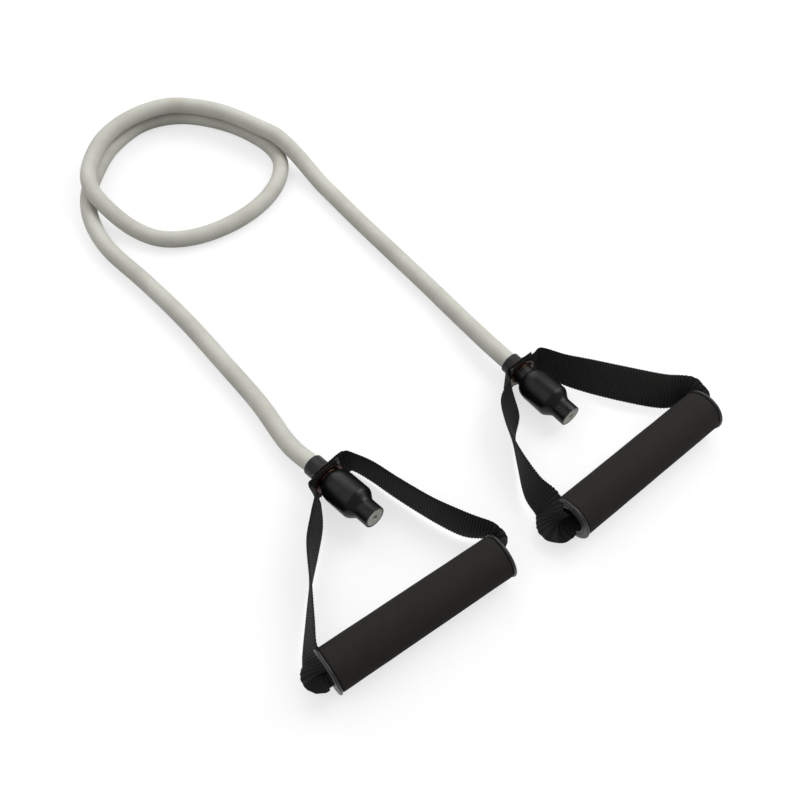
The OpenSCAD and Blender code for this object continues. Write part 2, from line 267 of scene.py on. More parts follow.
class Bench:
    """A material's node tree with its main shader, and short ways to add to it."""

    def __init__(self, name: str, colour: Colour, roughness: float) -> None:
        """Starts a material of one colour.

        Args:
            name: Name of the material.
            colour: Base colour, linear.
            roughness: Roughness of the surface.
        """
        self.material = bpy.data.materials.new(name)
        self.material.use_nodes = True
        self.material.diffuse_color = (*colour, 1.0)
        self.tree = self.material.node_tree
        self.shader = self.tree.nodes["Principled BSDF"]
        self.set(self.shader, Base_Color=(*colour, 1.0), Roughness=roughness)
        self.place = self.add("ShaderNodeTexCoord").outputs["Object"]

    def set(self, node: bpy.types.Node, **values: float | tuple[float, ...]) -> None:
        """Sets the node's input sockets, named with _ for a space."""
        for key, value in values.items():
            node.inputs[key.replace("_", " ")].default_value = value

    def add(self, kind: str, **settings: str) -> bpy.types.Node:
        """Adds a node and sets its properties.

        Args:
            kind: Type of the node.
            settings: Properties by name.

        Returns:
            The new node.
        """
        node = self.tree.nodes.new(kind)
        for key, value in settings.items():
            setattr(node, key, value)
        return node

    def link(self, source: Socket, target: Socket) -> None:
        """Joins an output socket to an input socket."""
        self.tree.links.new(source, target)

    def noise(self, size: float, detail: float = 3.0) -> Socket:
        """Cloudy noise with clouds of a real size.

        Args:
            size: Size of a cloud, in metres.
            detail: Octaves of finer clouds.

        Returns:
            The socket of the noise, from 0 to 1.
        """
        node = self.add("ShaderNodeTexNoise")
        self.set(node, Scale=1 / size, Detail=detail)
        self.link(self.place, node.inputs["Vector"])
        return node.outputs["Fac"]

    def cells(self, size: float) -> Socket:
        """Distance to the middle of the nearest cell, for cells of a real size.

        Args:
            size: Size of a cell, in metres.

        Returns:
            The socket of the distance.
        """
        node = self.add("ShaderNodeTexVoronoi")
        self.set(node, Scale=1 / size)
        self.link(self.place, node.inputs["Vector"])
        return node.outputs["Distance"]

    def attribute(self, name: str) -> Socket:
        """The socket of a number kept on the mesh."""
        return self.add("ShaderNodeAttribute", attribute_name=name).outputs["Fac"]

    def math(self, operation: str, *values: Socket | float) -> Socket:
        """The result of a sum on sockets and plain numbers.

        Args:
            operation: Name of the operation.
            values: Sockets or numbers, in order.

        Returns:
            The socket of the result.
        """
        node = self.add("ShaderNodeMath", operation=operation)
        for socket, value in zip(node.inputs, values):
            if isinstance(value, (int, float)):
                socket.default_value = value
            else:
                self.link(value, socket)
        return node.outputs[0]

    def ranged(self, value: Socket, low: float, high: float, start: float = 0.3, end: float = 0.7) -> Socket:
        """A socket's values from start to end spread over low to high.

        Args:
            value: Socket to read.
            low: Result at start.
            high: Result at end.
            start: Value that gives low.
            end: Value that gives high.

        Returns:
            The socket of the result.
        """
        node = self.add("ShaderNodeMapRange")
        self.set(node, From_Min=start, From_Max=end, To_Min=low, To_Max=high)
        self.link(value, node.inputs["Value"])
        return node.outputs["Result"]

    def colours(self, value: Socket, *stops: tuple[float, Colour]) -> Socket:
        """A ramp of colours.

        Args:
            value: Socket that says where on the ramp.
            stops: Places from 0 to 1 with their linear colours.

        Returns:
            The socket of the colour.
        """
        ramp = self.add("ShaderNodeValToRGB")
        elements = ramp.color_ramp.elements
        while len(elements) < len(stops):
            elements.new(0.5)
        for element, (place, colour) in zip(elements, stops):
            element.position = place
            element.color = (*colour, 1.0)
        self.link(value, ramp.inputs["Fac"])
        return ramp.outputs["Color"]

    def blend(self, share: Socket, first: Socket, second: Socket) -> Socket:
        """A mix of two colours.

        Args:
            share: Socket of the second colour's share.
            first: Socket of the first colour.
            second: Socket of the second colour.

        Returns:
            The socket of the mix.
        """
        node = self.add("ShaderNodeMix", data_type="RGBA")
        self.link(share, node.inputs["Factor"])
        self.link(first, node.inputs["A"])
        self.link(second, node.inputs["B"])
        return node.outputs["Result"]

    def colour(self, socket: Socket) -> None:
        """Joins a socket to the shader's base colour."""
        self.link(socket, self.shader.inputs["Base Color"])

    def roughness(self, socket: Socket) -> None:
        """Joins a socket to the shader's roughness."""
        self.link(socket, self.shader.inputs["Roughness"])

    def bump(self, height: Socket, depth: float, strength: float = 1.0) -> None:
        """Raises the surface by a height from 0 to 1.

        Args:
            height: Socket of the height.
            depth: Real depth of the relief, in metres.
            strength: Share of the relief that is felt.
        """
        node = self.add("ShaderNodeBump")
        self.set(node, Strength=strength, Distance=depth)
        self.link(height, node.inputs["Height"])
        self.link(node.outputs["Normal"], self.shader.inputs["Normal"])


@dataclass(frozen=True)
class Latex:
    """Warm grey natural latex, matte, with faint clouding and dust."""

    pale: Colour = (0.53, 0.53, 0.475)
    deep: Colour = (0.46, 0.455, 0.405)
    cloud: float = 22 * MM
    grain: float = 0.9 * MM
    relief: float = 0.06 * MM

    def material(self) -> bpy.types.Material:
        """Makes the material.

        Returns:
            The new material.
        """
        bench = Bench("latex", self.pale, 0.6)
        clouds = bench.noise(self.cloud)
        bench.colour(bench.colours(clouds, (0.3, self.deep), (0.62, self.pale)))
        bench.roughness(bench.ranged(clouds, 0.66, 0.5))
        bench.set(bench.shader, Specular_IOR_Level=0.3)
        bench.bump(bench.noise(self.grain, 5.0), self.relief, 0.5)
        return bench.material


@dataclass(frozen=True)
class MouldedRubber:
    """Black moulded rubber, with a gloss that varies a little."""

    name: str
    colour: Colour
    gloss: tuple[float, float]
    cloud: float = 7 * MM
    grain: float = 0.5 * MM
    relief: float = 0.02 * MM
    shine: float = 0.5

    def material(self) -> bpy.types.Material:
        """Makes the material.

        Returns:
            The new material.
        """
        bench = Bench(self.name, self.colour, self.gloss[0])
        clouds = bench.noise(self.cloud)
        worn = tuple(1.5 * c for c in self.colour)
        bench.colour(bench.colours(clouds, (0.35, self.colour), (0.8, worn)))
        bench.roughness(bench.ranged(clouds, *self.gloss))
        bench.set(bench.shader, Specular_IOR_Level=self.shine)
        bench.bump(bench.noise(self.grain), self.relief, 0.5)
        return bench.material


@dataclass(frozen=True)
class Webbing:
    """Black woven webbing: yarns along it between the modelled ribs, and ends sealed with heat."""

    yarn: float = 0.95 * MM
    hair: float = 0.35 * MM
    drop: float = 1.5 * MM
    relief: float = 0.12 * MM
    dark: Colour = (0.006, 0.0056, 0.0052)
    light: Colour = (0.036, 0.033, 0.0305)
    sealed: Colour = (0.075, 0.064, 0.056)

    def material(self) -> bpy.types.Material:
        """Makes the material.

        Returns:
            The new material.
        """
        bench = Bench("webbing", self.dark, 0.8)
        across = bench.math("MULTIPLY", bench.attribute("across"), math.pi / self.yarn)
        yarns = bench.math("ABSOLUTE", bench.math("SINE", across))
        # The crowns of the ribs and yarns are painted lighter and the grooves darker: a painted highlight on
        # the crests and painted shade between them. The fuzz is random tone.
        crowns = bench.math("MULTIPLY", yarns, bench.attribute("crown"))
        fuzz = bench.noise(self.hair, 4.0)
        tone = bench.math("MULTIPLY", crowns, bench.ranged(fuzz, 0.5, 1.2))
        cloth_with_painted_crests = bench.colours(tone, (0.25, self.dark), (1.0, self.light))
        melt = bench.colours(bench.noise(self.drop), (0.3, self.dark), (0.6, self.sealed))
        seal = bench.attribute("seal")
        bench.colour(bench.blend(seal, cloth_with_painted_crests, melt))
        bench.roughness(bench.ranged(seal, 0.78, 0.34, 0.0, 1.0))
        bench.set(bench.shader, Specular_IOR_Level=0.25)
        bench.bump(bench.math("ADD", crowns, bench.math("MULTIPLY", fuzz, 0.5)), self.relief, 0.8)
        return bench.material


@dataclass(frozen=True)
class BronzedMetal:
    """Dark bronzed metal, with a painted copper highlight on its rims."""

    patina: Colour = (0.009, 0.0065, 0.005)
    glint_copper: Colour = (0.075, 0.042, 0.029)
    glint_patch: float = 1.2 * MM
    cloud: float = 0.6 * MM
    grain: float = 0.4 * MM
    relief: float = 0.01 * MM

    def material(self) -> bpy.types.Material:
        """Makes the material.

        Returns:
            The new material.
        """
        bench = Bench("eyelet_metal", self.patina, 0.3)
        bench.set(bench.shader, Metallic=1.0)
        glint_patches = bench.ranged(bench.noise(self.glint_patch), 0.75, 1.1)
        # The rims take a painted highlight: bright copper, in patches, where the curved edges would glint in
        # the light.
        glint_share = bench.math("MULTIPLY", bench.attribute("painted_glint"), glint_patches)
        bench.colour(bench.colours(glint_share, (0.15, self.patina), (0.9, self.glint_copper)))
        bench.roughness(bench.ranged(bench.noise(self.cloud), 0.22, 0.4))
        bench.bump(bench.noise(self.grain), self.relief, 0.4)
        return bench.material


@dataclass(frozen=True)
class ClosedCellFoam:
    """Charcoal closed-cell foam, matte, with fine open pores in its skin."""

    dark: Colour = (0.0132, 0.0121, 0.0111)
    light: Colour = (0.022, 0.0202, 0.0186)
    cell: float = 0.55 * MM
    cloud: float = 9 * MM
    relief: float = 0.09 * MM

    def material(self) -> bpy.types.Material:
        """Makes the material.

        Returns:
            The new material.
        """
        bench = Bench("grip_foam", self.light, 0.92)
        cells = bench.cells(self.cell)
        clouds = bench.noise(self.cloud)
        # The colour darkens towards the middle of each cell, where the bump sinks a pore: painted shade in
        # the pores. The clouds are random tone.
        tone = bench.math("ADD", bench.math("MULTIPLY", clouds, 0.7), bench.math("MULTIPLY", cells, 0.5))
        bench.colour(bench.colours(tone, (0.3, self.dark), (0.8, self.light)))
        bench.roughness(bench.ranged(clouds, 0.86, 0.98))
        bench.set(bench.shader, Specular_IOR_Level=0.2)
        bench.bump(cells, self.relief, 0.7)
        return bench.material


@dataclass(frozen=True)
class MouldedPlastic:
    """Plain moulded plastic with a fine mould texture."""

    name: str
    colour: Colour
    gloss: tuple[float, float] = (0.3, 0.42)
    cloud: float = 4 * MM
    grain: float = 0.3 * MM
    relief: float = 0.012 * MM

    def material(self) -> bpy.types.Material:
        """Makes the material.

        Returns:
            The new material.
        """
        bench = Bench(self.name, self.colour, self.gloss[0])
        clouds = bench.noise(self.cloud)
        pale = tuple(1.25 * c for c in self.colour)
        bench.colour(bench.colours(clouds, (0.3, self.colour), (0.75, pale)))
        bench.roughness(bench.ranged(clouds, *self.gloss))
        bench.bump(bench.noise(self.grain), self.relief, 0.5)
        return bench.material


class Finishes:
    """Every finish on the object, made once and handed out by the record's slot."""

    def __init__(self) -> None:
        """Makes all the materials."""
        made = {
            "latex": Latex(),
            "boot_rubber": MouldedRubber("boot_rubber", (0.0035, 0.0036, 0.0038), (0.36, 0.28), shine=0.26),
            "collar_rubber": MouldedRubber(
                "collar_rubber", (0.0055, 0.0057, 0.0061), (0.5, 0.4), cloud=3 * MM, shine=0.3
            ),
            "webbing": Webbing(),
            "eyelet_metal": BronzedMetal(),
            "grip_foam": ClosedCellFoam(),
            "cap_plastic": MouldedPlastic("cap_plastic", (0.014, 0.0138, 0.0136)),
            "core_plastic": MouldedPlastic("core_plastic", (0.5, 0.5, 0.47)),
            "plug_plastic": MouldedPlastic("plug_plastic", (0.5, 0.5, 0.47)),
        }
        self.by_slot = {slot: finish.material() for slot, finish in made.items()}

    def dress(self, piece: bpy.types.Object, slot: str) -> None:
        """Gives a piece the finish of a slot, whose material already bears the slot's name.

        Args:
            piece: Mesh object, new or from the frame.
            slot: Slot in the record.
        """
        piece.data.materials.clear()
        piece.data.materials.append(self.by_slot[slot])


@dataclass
class TubeEnd:
    """One end of the tube: its swelling over the plug, the boot over that, and the collar in the eyelet.

    Distances run along the end to its open face, from the middle of an eyelet that lies next to the boot.
    """

    side: Side
    slide: float
    tube_r: float = 6.5 * MM
    bore_r: float = 2.0 * MM
    fit: float = 0.3 * MM
    swell_bore: float = 7.8 * MM
    swell_wall: float = 2.6 * MM
    swell_ramp: float = 6.0 * MM
    plug_len: float = 18.0 * MM
    plug_tuck: float = 1.0 * MM
    boot_s: float = 4.05 * MM
    boot_r: float = 12.3 * MM
    boot_wall: float = 1.2 * MM
    boot_nose: float = 2.5 * MM
    boot_lip: float = 0.45 * MM
    nose_len: float = 9.0 * MM
    shoulder_ease: float = 1.2 * MM
    neck_len: float = 10.4 * MM
    collar_wall: float = 1.1 * MM
    collar_len: float = 15.0 * MM
    collar_edge: float = 0.35 * MM

    def __post_init__(self) -> None:
        """Takes the eyelet's axis from the frame and works out the distances and radii."""
        self.eye = Axis.of_joint(f"{self.side.value}_swivel")
        self.axis = self.eye.moved(self.slide)
        self.swell_from = self.boot_s + self.boot_nose
        self.swell_to = self.swell_from + self.swell_ramp + self.plug_len - 2 * self.plug_tuck
        self.neck_s = self.swell_to + self.boot_wall + self.swell_ramp
        self.open_s = self.neck_s + self.neck_len
        self.swell_r = self.swell_bore + self.swell_wall
        self.neck_r = self.tube_r + self.fit + self.boot_wall
        self.collar_r = self.tube_r + self.fit + self.collar_wall

    def swell(self, s: float) -> float:
        """How far the tube has swollen over its plug at a distance, from 0 to 1."""
        rise = smooth((s - self.swell_from) / self.swell_ramp)
        return float(rise * (1 - smooth((s - self.swell_to) / self.swell_ramp)))

    def radii(self, s: float) -> tuple[float, float]:
        """The tube's outer and bore radius at a distance along the end."""
        share = self.swell(s)
        return mix(self.tube_r, self.swell_r, share), mix(self.bore_r, self.swell_bore, share)

    def boot(self) -> bpy.types.Object:
        """Builds the boot: a rounded nose, a bulge, a soft shoulder and a straight neck.

        Returns:
            The new mesh object.
        """
        nose_r = self.collar_r + self.boot_lip
        outside = []
        for a in np.linspace(0.0, math.pi / 2, 16):
            s = self.boot_s + self.nose_len * (1 - math.cos(a))
            outside.append((mix(nose_r, self.boot_r, math.sin(a)), s))
        shoulder_s = self.neck_s - self.swell_ramp - self.shoulder_ease
        for t in np.linspace(0.0, 1.0, 29):
            s = mix(shoulder_s, self.neck_s + self.shoulder_ease, t)
            outside.append((mix(self.boot_r, self.neck_r, float(smooth(t))), s))
        outside += arc((self.neck_r - self.boot_lip, self.open_s - self.boot_lip), self.boot_lip, 0, 90, 5)
        stations = np.linspace(self.open_s, self.boot_s, 40)
        inside = [(self.radii(s)[0] + self.fit / 3, s) for s in stations]
        return self.axis.lathe(f"{self.side.value}_boot_skin", outside + inside)

    def collar(self) -> bpy.types.Object:
        """Builds the collar: a plain sleeve with soft edges, under the eyelet and up to the boot.

        Returns:
            The new mesh object.
        """
        edge, outer, inner = self.collar_edge, self.collar_r, self.tube_r + self.fit / 3
        start, end = -self.collar_len, self.boot_s - self.fit / 3
        outline = [(inner, start)]
        outline += arc((outer - edge, start + edge), edge, -90, 0, 4)
        outline += arc((outer - edge, end - edge), edge, 0, 90, 4)
        outline += [(inner, end)]
        return self.axis.lathe(f"{self.side.value}_collar_sleeve", outline)

    def build(self, finishes: Finishes) -> None:
        """Builds and dresses the collar and the boot, and dresses the plug.

        Args:
            finishes: The object's finishes.
        """
        name = self.side.value
        for piece, node, slot in (
            (self.boot(), "boot", "boot_rubber"),
            (self.collar(), "collar", "collar_rubber"),
        ):
            shade(piece)
            finishes.dress(piece, slot)
            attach(piece, f"{name}_end")
            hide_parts(f"{name}_{node}")
            LOG.info("%s: %d faces", piece.name, len(piece.data.polygons))
        finishes.dress(frame["nodes"][f"{name}_plug"], "plug_plastic")


@dataclass
class Tube:
    """The latex tube, laid from the left end round the loop to the right end.

    The route gives each point across, along and in strands above the floor.
    """

    left: TubeEnd
    right: TubeEnd
    diameter: float = 13.0 * MM
    strand_gap: float = 1.0 * MM
    sides: int = 48
    spacing: float = 3.0 * MM
    leg_top: dict[Side, float] = field(default_factory=lambda: {Side.LEFT: 308 * MM, Side.RIGHT: 290 * MM})
    route: tuple[tuple[float, float, float], ...] = (
        (-85, 139, 0), (-87, 184, 0), (-90, 234, 0), (-96, 284, 0),
        (-103, 329, 0), (-101, 362, 0), (-91, 390, 0), (-73, 412, 0),
        (-47, 432, 0), (-13, 441, 0), (19, 429, 0), (45, 398, 0),
        (59, 362, 0), (59, 334, 0), (44, 313, 0), (19, 300, 0),
        (-11, 296, 0), (-41, 301, 0), (-64, 315, 0), (-77, 337, 0.05),
        (-85, 362, 0.5), (-87, 385, 1), (-76, 408, 1), (-51, 430, 1),
        (-18, 438, 1), (14, 430, 1), (42, 400, 1), (60, 360, 1),
        (66, 342, 0.95), (70, 322, 0.45), (71, 285, 0), (72, 239, 0),
        (74, 189, 0), (76, 134, 0),
    )

    def centreline(self) -> np.ndarray:
        """The line that the tube lies on, with its distance along an end, negative on the route.

        Returns:
            Rows of x, y, z and distance, from the left open end to the right one.
        """
        radius = self.diameter / 2
        lead = self.left.collar_len + 2 * self.diameter
        laid = [(x * MM, y * MM, radius + z * (self.diameter + self.strand_gap)) for x, y, z in self.route]
        starts = [self.left.axis.point(-s) for s in (self.left.collar_len, lead)]
        ends = [self.right.axis.point(-s) for s in (lead, self.right.collar_len)]
        curve = spline(np.array([*starts, *laid, *ends]), 12)
        curve[:, 2] = np.maximum(curve[:, 2], radius)
        curve = evenly(curve, self.spacing)
        body = np.column_stack([curve, np.full(len(curve), -self.left.collar_len)])
        tails = []
        for end in (self.left, self.right):
            stops = np.arange(-end.collar_len, end.open_s, 1.5 * MM)[1:]
            stops = np.append(stops, end.open_s)
            tails.append(np.array([[*end.axis.point(s), s] for s in stops]))
        return np.vstack([tails[0][::-1], body, tails[1]])

    def rings(self, line: np.ndarray) -> np.ndarray:
        """Rings out along the skin and back along the bore.

        Args:
            line: Stretch of the centreline.

        Returns:
            Points by ring and place on the ring.
        """
        ways = headings(line)
        across = np.cross(ways, UP)
        across /= np.linalg.norm(across, axis=1)[:, None]
        up = np.cross(across, ways)
        angles = np.linspace(0.0, 2 * math.pi, self.sides, endpoint=False)
        cos, sin = np.cos(angles)[None, :, None], np.sin(angles)[None, :, None]
        spokes = cos * across[:, None] + sin * up[:, None]
        radii = np.array([self.left.radii(s) for s in line[:, 3]])
        skin = line[:, None, :3] + radii[:, 0, None, None] * spokes
        bore = line[:, None, :3] + radii[:, 1, None, None] * spokes
        return np.concatenate([skin, bore[::-1]])

    def build(self, finishes: Finishes) -> None:
        """Builds the tube as a loop and two legs, and puts the loop on the band's body.

        Args:
            finishes: The object's finishes.
        """
        line = self.centreline()
        count = len(line)
        near_left = np.flatnonzero(line[: count // 3, 1] > self.leg_top[Side.LEFT])[0]
        last = 2 * count // 3
        near_right = last + np.flatnonzero(line[last:, 1] > self.leg_top[Side.RIGHT])[-1]
        stretches = {
            "tube_left_leg": line[: near_left + 1],
            "tube_loop": line[near_left : near_right + 1],
            "tube_right_leg": line[near_right:],
        }
        for name, stretch in stretches.items():
            piece = loft(name, self.rings(stretch), wrap=True)
            shade(piece, 50)
            finishes.dress(piece, "latex")
        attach(bpy.data.objects["tube_loop"], "band")
        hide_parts("tube")
        for end, join in ((self.left, line[near_left]), (self.right, line[near_right])):
            leg = bpy.data.objects[f"tube_{end.side.value}_leg"]
            far = end.axis.point(-end.collar_len)
            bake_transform(leg)


@dataclass(frozen=True)
class LegShape:
    """How one leg of the webbing hangs between the eyelet and the end cap, in millimetres and degrees.

    A lean takes the webbing's top outwards. The bend lies past the sealed end and along the tube, the turn
    is a share of the way to it. Low says how far round the bore the webbing lies below the grip's axis, and
    slump how far it hangs out of the bore there.
    """

    bow: tuple[float, ...]
    lean: tuple[float, ...]
    bend_lean: float
    rim_lean: float
    bend: tuple[float, float] = (5.0, 8.5)
    turn: tuple[float, float] = (0.9, 0.25)
    curls: tuple[float, float, float] = (0.3, 0.6, 0.9)
    slack: float = 0.0
    low: float = 0.0
    slump: float = 0.0


SWEPT = {"bend": (8.5, 3.5), "turn": (0.86, 0.05)}
OPEN_CURL = (0.05, 0.12, 0.45)
LEFT_LEGS = {
    Hand.MINUS: LegShape(
        (0, 2, 2, 1), (13, 12, -6, -18), 4, -24, curls=OPEN_CURL, slack=0.0, low=80, slump=1.8
    ),
    Hand.PLUS: LegShape((0.5, -1.5, -3, -3), (6, 8, 10, 14), 2, 4, **SWEPT),
}
RIGHT_LEGS = {
    Hand.MINUS: LegShape(
        (4.5, 9, 9, 6), (36, 20, 2, -20), 14, -34, curls=OPEN_CURL, slack=3.0, low=85, slump=4
    ),
    Hand.PLUS: LegShape((-4, -5, -5, -4), (22, 38, 48, 44), 6, 20, **SWEPT),
}


@dataclass
class HandleLoop:
    """The webbing of one handle with its eyelet and washer.

    Stations along the webbing are rows of x, y, z, lean in degrees and share of the full curl.
    """

    end: TubeEnd
    legs: dict[Hand, LegShape]
    width: float = 25.0 * MM
    thickness: float = 1.5 * MM
    lap_gap: float = 0.4 * MM
    lap_edge: float = 1.9 * MM
    barrel_wall: float = 0.7 * MM
    barrel_play: float = 0.4 * MM
    flange: float = 2.5 * MM
    flange_t: float = 0.7 * MM
    seat: float = 0.1 * MM
    mouth_x: float = 65.7 * MM
    mouth_r: float = 15.75 * MM
    ride_r: float = 7.95 * MM
    tail_in: float = 12.0 * MM
    slack_left: float = 0.4
    tab_over: float = 1.0 * MM
    hang_r: tuple[float, float] = (0.62, 0.42)
    hang_back: float = 0.6
    edge_share: float = 0.06
    edge_thin: float = 0.35
    curl_from: float = 0.7
    leg_shares: tuple[float, ...] = (0.15, 0.35, 0.6, 0.85)
    rib_pitch: float = 2.0 * MM
    rib_height: float = 0.3 * MM
    edge_wave: float = 0.5 * MM
    seal_len: float = 3.0 * MM
    strips: int = 12

    def __post_init__(self) -> None:
        """Takes the grip's axis from the frame and works out what follows from the sizes."""
        self.side = self.end.side
        self.grip = Axis.of_joint(f"{self.side.value}_spin")
        self.tab_lean = -math.degrees(math.asin(self.end.eye.along[2]))
        self.barrel_r = self.end.collar_r + self.barrel_play + self.barrel_wall
        self.hole_r = self.barrel_r + self.seat
        self.layer = (self.thickness + self.lap_gap) / 2
        self.stack = self.layer + self.thickness / 2
        self.flange_s = self.stack + 2 * self.seat + self.flange_t
        self.lap = self.hole_r + self.lap_edge
        self.flange_r = self.barrel_r + self.flange
        self.lip_gap = self.thickness / 2 + 2 * self.end.fit
        self.full_curl = self.width / self.ride_r

    def on_grip(self, x: float, y: float) -> np.ndarray:
        """A point at the grip's height, x along the grip and y from it towards the eyelet."""
        return self.grip.origin + x * self.grip.along + y * self.grip.across

    def in_bore(self, x: float, radius: float, low: float, lean: float, curl: float) -> np.ndarray:
        """A station round the grip's axis.

        Args:
            x: Distance along the grip.
            radius: Distance from the grip's axis.
            low: How far the webbing's middle lies below the axis, in degrees.
            lean: How far the webbing's lower edge leans out, in degrees.
            curl: Share of the full curl.

        Returns:
            The station.
        """
        a = math.radians(low)
        place = self.on_grip(x, radius * math.cos(a)) - radius * math.sin(a) * UP
        return np.array([*place, lean, curl])

    def level(self, sign: int, shape: LegShape, mouth: float) -> list[np.ndarray]:
        """Stations of a leg that turns into the bore at the height of the grip's axis.

        Args:
            sign: Sign of X at that end of the grip.
            shape: How the leg hangs.
            mouth: Distance along the grip at which the leg turns in.

        Returns:
            The stations from the rim into the bore.
        """
        inlet = mix(self.mouth_x, mouth, self.slack_left)
        turn_in = (
            (mouth + self.lip_gap, (self.mouth_r + self.ride_r) / 2, shape.curls[1]),
            (inlet + self.lip_gap / 2, self.ride_r + self.lip_gap, shape.curls[2]),
            (self.mouth_x - self.lip_gap, self.ride_r, 1.0),
        )
        return [self.in_bore(sign * x, r, 0.0, 0.0, curl) for x, r, curl in turn_in]

    def slumped(self, sign: int, shape: LegShape, mouth: float) -> list[np.ndarray]:
        """Stations of a leg that hangs across the mouth and goes in along the bottom of the bore.

        Args:
            sign: Sign of X at that end of the grip.
            shape: How the leg hangs.
            mouth: Distance along the grip at which the leg passes the rim.

        Returns:
            The stations from the rim into the bore.
        """
        hang, gap = shape.slump * MM, self.lip_gap
        turn_in = (
            (mouth + hang, self.hang_r[0] * self.mouth_r, 0.15, 0.42, shape.curls[1]),
            (mouth + self.hang_back * hang + gap, self.hang_r[1] * self.mouth_r, 0.7, 0.78, shape.curls[2]),
            (self.mouth_x + gap, self.ride_r, 0.9, 0.92, 0.85),
            (self.mouth_x - 3 * gap, self.ride_r, 1.0, 1.0, 1.0),
        )
        low = shape.low
        return [self.in_bore(sign * x, r, a * low, b * low, curl) for x, r, a, b, curl in turn_in]

    def leg(self, hand: Hand) -> list[np.ndarray]:
        """Stations of one leg, from its sealed end at the eyelet to its stretch inside the grip.

        Args:
            hand: End of the grip that the leg goes to.

        Returns:
            The stations in order.
        """
        sign, shape = hand.value, self.legs[hand]
        along, eye = self.end.eye.along, self.end.eye.origin
        across = sign * unit(np.array([-along[1], along[0], 0.0]))
        own = (hand is Hand.MINUS) == (self.side is Side.LEFT)
        layer = (self.layer if own else -self.layer) * along
        out, down = (self.lap + shape.bend[0] * MM) * across, shape.bend[1] * MM * along
        bend = eye + out + down
        mouth = self.mouth_x + shape.slack * MM
        rim = self.on_grip(sign * (mouth + self.lip_gap / 2), self.mouth_r + self.lip_gap)
        side_way = unit(np.cross(rim - bend, sign * UP))
        flat = max(self.lap, self.flange_r) + self.tab_over
        rows = [
            np.array([*(eye + layer + q * across), self.tab_lean, 0.0])
            for q in (-self.lap, 0.0, flat / 2, flat)
        ]
        rows.append(np.array([*(eye + shape.turn[0] * out + shape.turn[1] * down), self.tab_lean, 0.0]))
        rows.append(np.array([*bend, -shape.bend_lean, 0.0]))
        for t, bow, lean in zip(self.leg_shares, shape.bow, shape.lean):
            curl = shape.curls[0] * float(smooth((t - self.curl_from) / (1 - self.curl_from)))
            rows.append(np.array([*(mix(bend, rim, t) - bow * MM * side_way), -lean, curl]))
        rows.append(np.array([*rim, -shape.rim_lean, shape.curls[0]]))
        rows += self.slumped(sign, shape, mouth) if shape.slump else self.level(sign, shape, mouth)
        deep = self.mouth_x - self.tail_in
        rows.append(self.in_bore(sign * deep, self.ride_r, shape.low, shape.low, 1.0))
        return rows

    def strap(self) -> bpy.types.Object:
        """Builds the webbing: ribs across it, a waved edge, sealed ends and the hole for the eyelet.

        Returns:
            The new mesh object.
        """
        low = sum(shape.low for shape in self.legs.values()) / 2
        middle = [self.in_bore(0.0, self.ride_r, low, low, 1.0)]
        rows = spline(np.array([*self.leg(Hand.PLUS), *middle, *self.leg(Hand.MINUS)[::-1]]), 16)
        rows = evenly(rows, self.rib_pitch / 6)
        along = distances(rows)
        self.length = float(along[-1])
        ways = headings(rows)
        level = np.cross(ways, np.cross(np.cross(ways, UP), ways))
        level /= np.linalg.norm(level, axis=1)[:, None]
        plumb = np.cross(level, ways)
        lean = np.radians(rows[:, 3])[:, None]
        wide = np.cos(lean) * plumb + np.sin(lean) * level
        thick = np.cross(ways, wide)
        curl = np.maximum(np.clip(rows[:, 4], 0, 1) * self.full_curl, math.radians(1))
        wave = np.sin(2 * math.pi * along / self.rib_pitch)
        serrate = self.edge_wave * wave
        from_end = np.minimum(along, self.length - along)
        seal = 1 - smooth((from_end - 0.6 * self.seal_len) / (0.4 * self.seal_len))
        ribbed = self.rib_height / 2 * wave * (1 - seal)
        shares = np.linspace(-0.5, 0.5, self.strips + 1)
        radius = (self.width + serrate * (1 - seal)) / curl
        hub = rows[:, :3] - (self.width / curl)[:, None] * thick

        def face(lift: np.ndarray, share: float) -> np.ndarray:
            """Points along the webbing.

            Args:
                lift: Height over the middle layer, by station.
                share: Place across the webbing, from -0.5 to 0.5.

            Returns:
                One point for each station.
            """
            angle = (curl * share)[:, None]
            edge = np.clip((0.5 - abs(share)) / self.edge_share, self.edge_thin, 1.0)
            reach = (self.width / curl + lift * edge)[:, None]
            stretch = (radius / (self.width / curl))[:, None]
            return hub + reach * (np.cos(angle) * thick + np.sin(angle * stretch) * wide)

        top = [face(self.thickness / 2 + ribbed, s) for s in shares]
        bottom = [face(-self.thickness / 2 + ribbed, s) for s in shares[::-1]]
        piece = loft(f"{self.side.value}_webbing", np.stack(top + bottom, axis=1), wrap=False)
        n = 2 * len(shares)
        put(piece, "along", np.repeat(along, n))
        put(piece, "across", np.tile(np.concatenate([shares, shares[::-1]]) * self.width, len(rows)))
        # The rib's height on each face, read by the webbing finish for its bump and for its painted crest
        # highlight.
        crown = np.repeat(np.column_stack([1 + wave, 1 - wave]) / 2, len(shares), axis=1)
        put(piece, "crown", crown.ravel())
        put(piece, "seal", np.repeat(seal, n))
        self.punch(piece)
        shade(piece, 60)
        return piece

    def punch(self, piece: bpy.types.Object) -> None:
        """Cuts the eyelet's hole through both layers of the webbing.

        Args:
            piece: The webbing, changed in place.
        """
        depth = 3 * self.stack
        bpy.ops.mesh.primitive_cylinder_add(vertices=64, radius=self.hole_r, depth=2 * depth)
        cutter = bpy.context.active_object
        axis = self.end.eye
        turned = Matrix(np.column_stack([axis.across, axis.up, axis.along]).tolist()).to_4x4()
        cutter.matrix_world = Matrix.Translation(Vector(axis.origin)) @ turned
        cut = piece.modifiers.new("hole", "BOOLEAN")
        cut.operation, cut.solver, cut.object = "DIFFERENCE", "EXACT", cutter
        bpy.context.view_layer.update()
        shaped = piece.evaluated_get(bpy.context.evaluated_depsgraph_get())
        mesh = bpy.data.meshes.new_from_object(shaped)
        piece.modifiers.clear()
        piece.data = mesh
        bpy.data.objects.remove(cutter)

